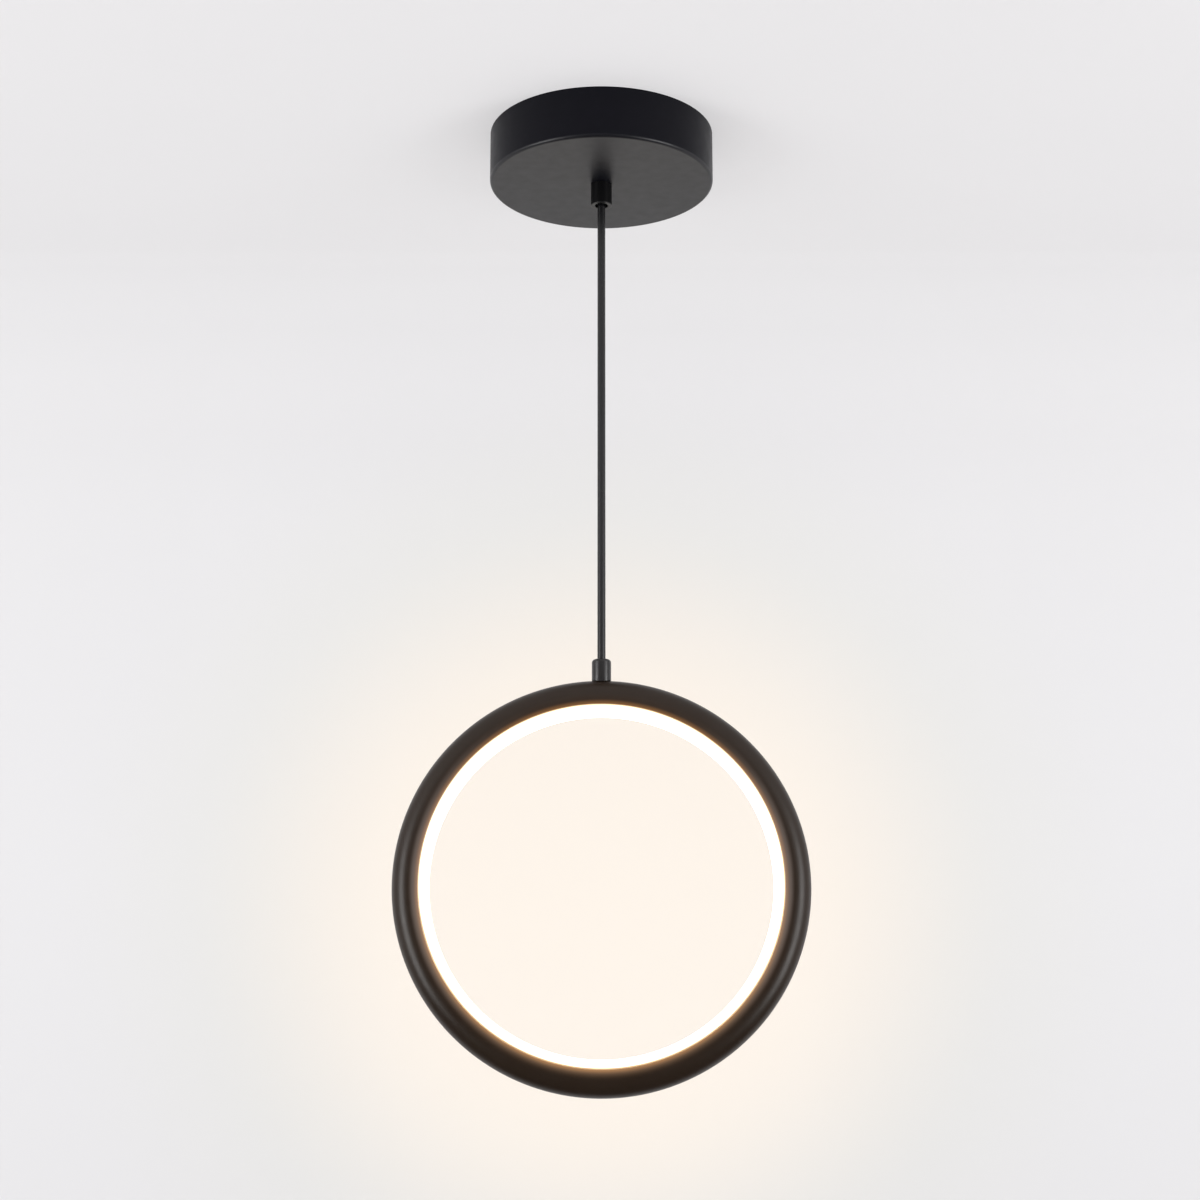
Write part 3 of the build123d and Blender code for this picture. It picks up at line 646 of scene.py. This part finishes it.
# cuts one piece with others, which are then gone
def cut(piece, *tools, operation="DIFFERENCE"):
    for tool in tools:
        modifier = piece.modifiers.new("cut", "BOOLEAN")
        modifier.operation = operation
        modifier.object = tool
        modifier.solver = "EXACT"
        bake(piece)
        bpy.data.objects.remove(tool)
    return piece


# turns the Z axis to a direction and moves the origin to a place in millimetres
def poseMatrix(toPlace, axis):
    turn = Vector(axis).to_track_quat("Z", "Y")
    return Matrix.Translation(Vector(toPlace) / 1000) @ turn.to_matrix().to_4x4()


def moveMesh(piece, toPlace, axis=(0, 0, 1)):
    piece.data.transform(poseMatrix(toPlace, axis))
    return piece


# a prism in millimetres for cutting: round radius, number of sides, from one point along an axis
def prism(radius, sides, start, axis, length):
    shape = bmesh.new()
    bmesh.ops.create_cone(shape, cap_ends=True, segments=sides, radius1=radius / 1000, radius2=radius / 1000,
                          depth=length / 1000, matrix=Matrix.Translation((0, 0, length / 2000)))
    bmesh.ops.transform(shape, verts=shape.verts, matrix=poseMatrix(start, axis))
    return meshObject("tool", meshFrom(shape, "tool"))


# box in millimetres, with broken edges unless the edge is 0
def bevelledBox(name, low, high, edge, *materials):
    shape = bmesh.new()
    bmesh.ops.create_cube(shape, size=1)
    low, high = Vector(low) / 1000, Vector(high) / 1000
    for corner in shape.verts:
        corner.co = Vector([(low[i] + high[i]) / 2 + corner.co[i] * (high[i] - low[i]) for i in range(3)])
    if edge:
        bmesh.ops.bevel(shape, geom=shape.edges[:], offset=edge / 1000, segments=3, affect="EDGES",
                        profile=0.5)
    return meshObject(name, meshFrom(shape, name), *materials)


# a copy of a CAD node with its doubles merged and its edges broken by a small bevel
def soften(name, node, material, width):
    piece = meshObject(name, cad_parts[node].data.copy())
    piece.data.materials.clear()
    piece.data.materials.append(material)
    with editMesh(piece) as work:
        bmesh.ops.remove_doubles(work, verts=work.verts, dist=2e-6)
        bmesh.ops.dissolve_limit(work, angle_limit=math.radians(1), verts=work.verts, edges=work.edges)
    modifier = piece.modifiers.new("edges", "BEVEL")
    modifier.width = width / 1000
    modifier.segments = 2
    modifier.limit_method = "ANGLE"
    modifier.angle_limit = math.radians(sharpAngle)
    bake(piece)
    with editMesh(piece) as work:
        wide = [face for face in work.faces if len(face.verts) > 4]  # long slivers would shade as hairlines
        bmesh.ops.triangulate(work, faces=wide, ngon_method="BEAUTY")
    return tidyMesh(piece, flatAngle, turnOut=False)


# adds other meshes to a piece
def join(piece, *others):
    work = bmesh.new()
    for each in (piece, *others):
        work.from_mesh(each.data)
    mesh = meshFrom(work, piece.name)
    for material in piece.data.materials:
        mesh.materials.append(material)
    piece.data = mesh
    for each in others:
        bpy.data.objects.remove(each)
    return tidyMesh(piece)


# a round curve through points in millimetres, with so many steps round it and between two points
def roundCurve(name, points, diameter, around, between):
    curve = bpy.data.curves.new(name, "CURVE")
    curve.dimensions = "3D"
    line = curve.splines.new("NURBS")
    line.points.add(len(points) - 1)
    for point, at in zip(line.points, points):
        point.co = (*[value / 1000 for value in at], 1)
    line.order_u = 3
    line.use_endpoint_u = True
    line.resolution_u = between
    curve.bevel_depth = diameter / 2000
    curve.bevel_resolution = around
    curve.use_fill_caps = True
    piece = bpy.data.objects.new(name, curve)
    scene.collection.objects.link(piece)
    return piece


# rides a body and stands for its nodes
def carry(piece, slotName, *nodes, body="ceiling_unit"):
    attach(piece, body)
    if nodes:
        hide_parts(*nodes)
    return piece


print("cord")
cordSizes = {"diameter": 5.6, "top": -47.5, "bottom": -389.6, "spans": 3, "around": 8, "between": 12}


def makeCord():
    s = Named(**cordSizes)
    line = [(0, 0, s.top + (s.bottom - s.top) * number / s.spans) for number in range(s.spans + 1)]
    piece = roundCurve("hangingCord", line, s.diameter, s.around, s.between)
    piece.data.materials.append(cordPvc)
    return piece


hangingCord = carry(makeCord(), "cord_pvc", "cord", body="cord")


print("canopy")
canopySizes = {"radius": 80.0, "height": 38.0, "wall": 1.2, "edge": 2.2, "hole": 5.1, "screwHole": 2.15,
               "screwZ": -10.0, "holeDepth": 6}


def makeCanopy():
    s = Named(**canopySizes)
    inner = s.radius - s.wall
    floorZ = s.wall - s.height
    corners = [(inner, 0, 0.3), (s.radius, 0, 0.4), (s.radius, -s.height, s.edge),
               (s.hole, -s.height, 0.2), (s.hole, floorZ, 0.2), (inner, floorZ, 1.0)]
    piece = sweep("canopyCup", corners, canopyPaint, segments=256, steps=8)
    return tidyMesh(cut(piece, *[prism(s.screwHole, 32, (side * (s.radius + 2), 0, s.screwZ),
                                       (-side, 0, 0), s.holeDepth) for side in (1, -1)]))


carry(makeCanopy(), "canopy_paint", "canopy")


print("gland")
glandSizes = {"radius": 7.5, "top": -38.0, "bottom": -54.5, "neck": 4.95, "neckTop": -32.2, "leadIn": 0.35,
              "undercut": 0.3, "thread": (0.45, 1.0, -32.6, -37.1), "bore": 3.1, "mouth": 4.65,
              "mouthTop": -46.5, "chamfer": 0.45, "grubZ": -42.3, "grubHole": 1.55, "holeDepth": 6,
              "sharp": 28}


def makeGland():
    s = Named(**glandSizes)
    corners = [(s.bore, s.neckTop, 0), (s.neck - s.leadIn, s.neckTop, 0)]
    corners += threadLine(s.neck, *s.thread)
    corners += [(s.neck - s.undercut, s.top, 0), (s.radius, s.top, 0.25),
                (s.radius, s.bottom, s.chamfer), (s.mouth, s.bottom, s.chamfer),
                (s.mouth, s.mouthTop, 0.2), (s.bore, s.mouthTop, 0.2)]
    piece = sweep("cordGland", corners, glandPaint, segments=128, sharp=s.sharp)
    cut(piece, prism(s.grubHole, 24, (0, s.radius + 1, s.grubZ), (0, -1, 0), s.holeDepth))
    return tidyMesh(piece, s.sharp)


carry(makeGland(), "gland_paint", "gland_body")


print("ring")


# the ring's section in millimetres from the middle of its round tube: one half, its mirror image,
# and the round face
def ringSection(half, firstAngle, lastAngle, steps):
    c, tube = ringSizes["centreRadius"], ringSizes["tube"]
    lower = [(c + u, -v, radius) for u, v, radius in half]
    upper = [(c + u, v, radius) for u, v, radius in reversed(half)]
    angles = [math.radians(firstAngle + (lastAngle - firstAngle) * step / steps) for step in range(1, steps)]
    return lower + upper + [(c + tube * math.cos(a), tube * math.sin(a), 0.0) for a in angles]


def sweepRing(name, section, material):
    s = Named(**ringSizes)
    return sweep(name, section, material, segments=s.segments, steps=4, sharp=40, centre=s.centreRadius,
                 turn=(math.pi / 2, 0, 0), place=(0, 0, s.centreZ))


channelHalf = [(-5.381, 11.282, 0.3), (-5.381, 9.4, 0.25), (-3.581, 9.4, 0.2), (-3.581, 10.2, 0.2),
               (2.2, 10.2, 0.2), (2.2, 8.0, 0.3), (9.7, 5.2, 0.5)]
carry(sweepRing("ringHousing", ringSection(channelHalf, 115.5, -115.5, 64), ringPaint), "ring_paint",
      "ring_housing", body="ring")
opalHalf = [(-5.531, 11.21, 0.15), (-5.531, 9.25, 0.2), (-3.431, 9.25, 0.1), (-3.431, 9.75, 0.15),
            (-1.2, 7.55, 0.3), (-8.6, 7.55, 0.6)]
carry(sweepRing("opalDiffuser", ringSection(opalHalf, 116.26, 243.74, 36), opal), "opal", "diffuser",
      body="ring")


print("screws, nuts and studs")
# radius, length, width of the hexagon socket, place of the head, and direction out of it
screwSizes = {"canopy": (2.0, 6.0, 2.0, (79.85, 0, -10.0), (1, 0, 0)),
              "gland": (1.5, 4.5, 1.5, (0, 7.35, -42.3), (0, 1, 0)),
              "ferrule": (1.5, 3.6, 1.5, (0, 6.45, -396.5), (0, 1, 0))}


# socket set screw with a blunt cone point
def setScrew(name, kind):
    radius, length, key, head, axis = screwSizes[kind]
    corners = [(0, 0, 0), (radius, 0, 0.25), (radius, -length + 0.6, 0.1), (radius - 0.6, -length, 0.1),
               (0, -length, 0)]
    piece = sweep(name, corners, screwSteel, segments=32, steps=3)
    cut(piece, prism(key / math.sqrt(3), 6, (0, 0, 0.5), (0, 0, -1), 0.5 + radius))
    return moveMesh(tidyMesh(piece), head, axis)


canopyScrews = runTree("canopyScrews", shapeOf(setScrew("canopyScrewShape", "canopy")), "round", screwSteel,
                       {"Count": 2})
carry(tidyMesh(canopyScrews), "screw_steel", "canopy_screws")
carry(setScrew("glandGrubScrew", "gland"), "screw_steel", "gland_grub_screw")
carry(setScrew("ferruleGrubScrew", "ferrule"), "screw_steel", "ferrule_grub_screw", body="ring")

# width over the flats, height, and radius of the hole
nutSizes = {"gland": (14.0, 3.0, 4.98), "ferrule": (10.0, 3.0, 2.98), "small": (5.5, 2.4, 1.53)}
nutPlaces = {"gland": (0, 0, -36.8), "ferrule": (0, 0, -410.5), "driver": (0, 37.0, -34.8), "pitch": 93.0}


# hexagon nut with chamfered corners and a countersunk hole
def hexNut(name, kind, material):
    flats, height, hole = nutSizes[kind]
    across = flats / math.sqrt(3)
    chamfer = (across - flats / 2) * 0.6
    corners = [(flats / 2, height, 0), (across + 0.02, height - chamfer, 0), (across + 0.02, 0, 0),
               (hole + 0.4, 0, 0), (hole, 0.4, 0), (hole, height - 0.4, 0)]
    piece = sweep(name, corners, material, sharp=25)
    cut(piece, prism(across, 6, (0, 0, -1), (0, 0, 1), height + 2), operation="INTERSECT")
    return tidyMesh(piece, 25)


carry(moveMesh(hexNut("glandNut", "gland", nutBrass), nutPlaces["gland"]), "nut_brass", "gland_nut")
carry(moveMesh(hexNut("ferruleNut", "ferrule", nutBrass), nutPlaces["ferrule"]), "nut_brass", "ferrule_nut",
      body="ring")
smallNutShape = shapeOf(hexNut("smallNut", "small", nutZinc))
driverNuts = runTree("driverNuts", smallNutShape.copy(), "grid", nutZinc,
                     {"Columns": 2, "Rows": 1, "Pitch across": nutPlaces["pitch"] / 1000},
                     place=nutPlaces["driver"])
carry(tidyMesh(driverNuts, 25), "nut_zinc", "driver_nuts")

# threaded weld studs on the canopy's floor: two for the driver, the terminal block's and the earth's
studSizes = {"radius": 1.5, "thread": (0.27, 0.5, -30.2, -35.65), "top": -29.8, "leadIn": 0.4,
             "bottom": -36.85, "shank": 0.9, "collar": 0.5,
             "places": [(-46.5, 37.0, 0), (46.5, 37.0, 0), (-17.0, -43.0, 0), (-7.0, -17.0, 0)]}


def makeStuds():
    s = Named(**studSizes)
    line = [(0, s.top, 0), (s.radius - s.leadIn, s.top, 0)] + threadLine(s.radius, *s.thread)
    line += [(s.radius, s.bottom + s.shank, 0), (s.radius, s.bottom + s.collar, 0),
             (s.radius + s.collar, s.bottom, 0), (0, s.bottom, 0)]
    studs = [moveMesh(sweep("weldStud", line, nutZinc, segments=24, sharp=20), place) for place in s.places]
    studs[0].name = "weldStuds"
    return join(*studs)


carry(makeStuds(), "nut_zinc")


print("ferrule and grommet")
ferruleSizes = {"radius": 6.6, "top": -389.5, "edge": 2.0, "low": -408.0, "tube": 12.53, "tubeZ": -417.0,
                "seam": 0.55, "foot": 6.1, "footTop": -400.0, "footHole": 2.55, "socket": 2.95,
                "socketEnd": -399.5, "plug": 5.6, "plugEnd": -402.5, "bore": 2.1, "spigot": 2.95,
                "spigotEnd": -411.3, "grubHole": 1.55, "grubZ": -396.5, "holeDepth": 5}


# sleeve that is coped to the ring's round tube, with a fine shadow seam above its foot,
# and the hollow thread below
def makeFerrule():
    s = Named(**ferruleSizes)
    sleeve = turned("ferruleSleeve", s.socket, s.radius, s.top, s.low, (0.25, s.edge, 0, 0),
                    ferrulePaint, steps=8)
    cut(sleeve, prism(s.tube + s.seam, 256, (-20, 0, s.tubeZ), (1, 0, 0), 40),
        prism(s.grubHole, 24, (0, s.radius + 1, s.grubZ), (0, -1, 0), s.holeDepth))
    foot = turned("ferruleFoot", s.footHole, s.foot, s.footTop, s.low, (0, 0, 0, 0), ferrulePaint)
    cut(foot, prism(s.tube, 256, (-20, 0, s.tubeZ), (1, 0, 0), 40))
    spigot = sweep("ferruleSpigot", [(s.bore, s.socketEnd, 0), (s.plug, s.socketEnd, 0),
                                     (s.plug, s.plugEnd, 0), (s.spigot, s.plugEnd, 0),
                                     (s.spigot, s.spigotEnd, 0.3), (s.bore, s.spigotEnd, 0.1)],
                   ferrulePaint)
    return tidyMesh(cut(sleeve, foot, spigot, operation="UNION"))


carry(makeFerrule(), "gland_paint", "ferrule", body="ring")
grommetSizes = {"hole": 3.15, "radius": 4.17, "high": -48.7, "low": -50.3, "edges": (0.4, 0.4, 0.4, 0.4)}
carry(turned("cordGrommet", *grommetSizes.values(), grommetSilicone, 64), "grommet_silicone",
      "cord_grommet")


print("bracket, driver and terminal block")
carry(soften("mountingBracket", "mounting_bracket", bracketZinc, 0.3), "bracket_zinc",
      "mounting_bracket")

driverSizes = {"front": 20.0, "lidTop": -14.8, "wireHole": 1.3, "holeDepth": 6,
               "wires": ((-27, -33.8), (-17, -33.8), (-1.25, -22.9), (1.25, -22.9)),
               "panelX": 26, "panelY": (28, 46), "panelDepth": 0.35, "ventX": 33.0, "ventY": 37,
               "ventPitch": 3.2, "ventWidth": 1.2, "ventLength": 18.0, "ventDepth": 1.0, "above": 2}


def makeDriver():
    s = Named(**driverSizes)
    case = soften("driverCase", "driver_case", driverWhite, 0.35)
    cut(case, *[prism(s.wireHole, 20, (x, s.front - 1, z), (0, 1, 0), s.holeDepth) for x, z in s.wires])
    lid = soften("driverLid", "driver_lid", driverWhite, 0.5)
    over = s.lidTop + s.above
    tools = [bevelledBox("tool", (-s.panelX, s.panelY[0], s.lidTop - s.panelDepth),
                         (s.panelX, s.panelY[1], over), 0)]
    halfWidth, halfLength = s.ventWidth / 2, s.ventLength / 2
    for side in (-1, 1):
        for number in (-1, 0, 1):
            x = side * (s.ventX + number * s.ventPitch)
            tools.append(bevelledBox("tool", (x - halfWidth, s.ventY - halfLength, s.lidTop - s.ventDepth),
                                     (x + halfWidth, s.ventY + halfLength, over), 0))
    cut(lid, *tools)
    return tidyMesh(case, flatAngle), tidyMesh(lid, flatAngle)


driverCase, driverLid = makeDriver()
carry(driverCase, "driver_case_white", "driver_case")
carry(driverLid, "driver_case_white", "driver_lid")

blockSizes = {"xs": (-27.0, -17.0, -7.0), "front": -51.5, "back": -34.5, "wayZ": -33.8, "wayRadius": 1.7,
              "wayDepth": 6.0, "screwRadius": 1.7, "pitch": (10.0, 9.0), "screwFoot": -28.8,
              "screwTop": -26.55, "slotWidth": 0.7, "slotDepth": 0.7, "middle": (-17.0, -43.0, 0)}


def makeBlock():
    s = Named(**blockSizes)
    block = soften("terminalBlock", "terminal_block", terminalNylon, 0.3)
    for y, inward in ((s.front, 1), (s.back, -1)):
        cut(block, *[prism(s.wayRadius, 20, (x, y - inward, s.wayZ), (0, inward, 0), s.wayDepth + 1)
                     for x in s.xs])
    head = turned("screwShape", 0, s.screwRadius, s.screwTop, s.screwFoot, (0, 0.3, 0, 0),
                  terminalSteel, 24, 3)
    cut(head, bevelledBox("tool", (-3, -s.slotWidth / 2, s.screwTop - s.slotDepth),
                          (3, s.slotWidth / 2, s.screwTop + 1), 0))
    screws = runTree("terminalScrews", shapeOf(tidyMesh(head)), "grid", terminalSteel,
                     {"Columns": len(s.xs), "Rows": 2, "Pitch across": s.pitch[0] / 1000,
                      "Pitch along": s.pitch[1] / 1000}, place=s.middle)
    return tidyMesh(block, flatAngle), tidyMesh(screws)


terminalBlock, terminalScrews = makeBlock()
carry(terminalBlock, "terminal_nylon", "terminal_block")
carry(terminalScrews, "terminal_steel", "terminal_screws")


print("wires")
wireSizes = {"mains": 2.0, "core": 1.6, "around": 4, "between": 8}
# kind, insulation, points in millimetres, body, slot, and the node that it stands for;
# a pair's second wire stands for none, because its node is the first one's
wires = {
    "liveLead": ("mains", "brown", [(-27, -38, -33.8), (-27, -31, -33.8), (-29, -20, -32), (-30, -6, -30),
                                    (-27, 8, -32), (-27, 15, -33.8), (-27, 23, -33.8)],
                 "ceiling_unit", "lead_brown", "mains_leads"),
    "neutralLead": ("mains", "blue", [(-17, -38, -33.8), (-17, -31, -33.8), (-19, -18, -31), (-16, -4, -29.5),
                                      (-18, 8, -31.5), (-17, 15, -33.8), (-17, 23, -33.8)],
                    "ceiling_unit", "lead_brown"),
    "earthLead": ("mains", "greenYellow", [(-7, -38, -33.8), (-7, -31, -33.8), (-6, -27, -32.5),
                                           (-7, -23.5, -34), (-7, -21.5, -35.3), (-7, -19.8, -35.4)],
                  "ceiling_unit", "lead_earth", "earth_lead"),
    "redCore": ("core", "red", [(1.25, 0, -33), (1.25, 0, -27), (1.6, 0.5, -22.2), (2.6, 6, -20.6),
                                (1.8, 13, -22), (1.25, 17, -22.9), (1.25, 22, -22.9)],
                "ceiling_unit", "lead_core", "cord_cores"),
    "blackCore": ("core", "black", [(-1.25, 0, -33), (-1.25, 0, -27), (-1.5, 0.5, -21.6), (-2.8, 6, -21.4),
                                    (-2.2, 13, -22.6), (-1.25, 17, -22.9), (-1.25, 22, -22.9)],
                  "ceiling_unit", "lead_core"),
    "redBoardLead": ("core", "red", [(1.25, 0, -398), (1.25, 0, -404), (1.5, 0, -409), (1.25, 0, -414.5)],
                     "ring", "lead_core", "board_leads"),
    "blackBoardLead": ("core", "black", [(-1.25, 0, -398), (-1.25, 0, -404), (-1.5, 0, -409),
                                         (-1.25, 0, -414.5)], "ring", "lead_core")}


# a slack wire as a tube mesh with its own map along and round it
def wire(name, kind, colour, points):
    tube = roundCurve(name, points, wireSizes[kind], wireSizes["around"], wireSizes["between"])
    mesh = bpy.data.meshes.new_from_object(tube.evaluated_get(bpy.context.evaluated_depsgraph_get()))
    bpy.data.objects.remove(tube)
    for layer in mesh.uv_layers:
        layer.name = "alongWire"
    mesh.materials.clear()
    piece = meshObject(name, mesh, leads[colour])
    mesh.shade_smooth()
    return piece


for name, (kind, colour, points, body, *slotAndNode) in wires.items():
    carry(wire(name, kind, colour, points), *slotAndNode, body=body)

# ring lug and nut of the earth lead
lugSizes = {"hole": 1.6, "outer": 3.0, "low": -36.7, "high": -36.0, "edge": 0.15, "place": (-7.0, -17.0),
            "neckHalf": 1.1, "neckY": (-23.5, -18.9), "neckRise": 0.1, "neckEdge": 0.12,
            "barrel": (1.05, 1.45, 4, 0), "barrelEdge": 0.1, "barrelPlace": (-7.0, -21.0, -35.3),
            "barrelAxis": (0, -1, 0.05), "nutZ": -35.9}


def makeLug():
    s = Named(**lugSizes)
    x, y = s.place
    lug = turned("earthLug", s.hole, s.outer, s.high, s.low, (0, s.edge, s.edge, 0),
                 terminalSteel, 32)
    neck = bevelledBox("lugNeck", (x - s.neckHalf, s.neckY[0], s.low),
                       (x + s.neckHalf, s.neckY[1], s.high + s.neckRise), s.neckEdge, terminalSteel)
    barrel = turned("lugBarrel", *s.barrel, (0, s.barrelEdge, s.barrelEdge, 0), terminalSteel, 24)
    nut = meshObject("earthNut", smallNutShape.copy())
    return join(moveMesh(lug, (x, y, 0)), neck, moveMesh(barrel, s.barrelPlace, s.barrelAxis),
                moveMesh(nut, (x, y, s.nutZ)))


carry(makeLug(), "terminal_steel")

# the cord's clamped ends: radius, top, bottom and corner radii
tailSizes = {"cordTail": (2.8, -27.7, -46.5, (0, 0.4, 0, 0)),
             "cordEnd": (2.8, -389.8, -399.5, (0, 0, 0.4, 0))}
for name, body, node in (("cordTail", "ceiling_unit", "cord_tail"), ("cordEnd", "ring", "cord_end")):
    carry(turned(name, 0, *tailSizes[name], cordPvc, 48), "cord_pvc", node, body=body)


print("light engine")
chipSizes = {"count": 36, "thickness": 0.8, "length": 3.5, "width": 2.8, "faceRadius": 127.69, "edge": 0.1}


def makeChips():
    s = Named(**chipSizes)
    shape = bevelledBox("chipShape", (s.faceRadius, -s.length / 2, -s.width / 2),
                        (s.faceRadius + s.thickness, s.length / 2, s.width / 2), s.edge)
    return runTree("ledChips", shapeOf(shape), "round", phosphor, {"Count": s.count},
                   turn=(math.pi / 2, 0, 0), place=(0, 0, ringSizes["centreZ"]))


carry(makeChips(), "led_phosphor", "led_chips", body="ring")
for nodeName, material in (("led_board", ledWhite), ("driver_board", boardGreen)):
    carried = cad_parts[nodeName]
    carried.data.materials.clear()
    carried.data.materials.append(material)


print("done")
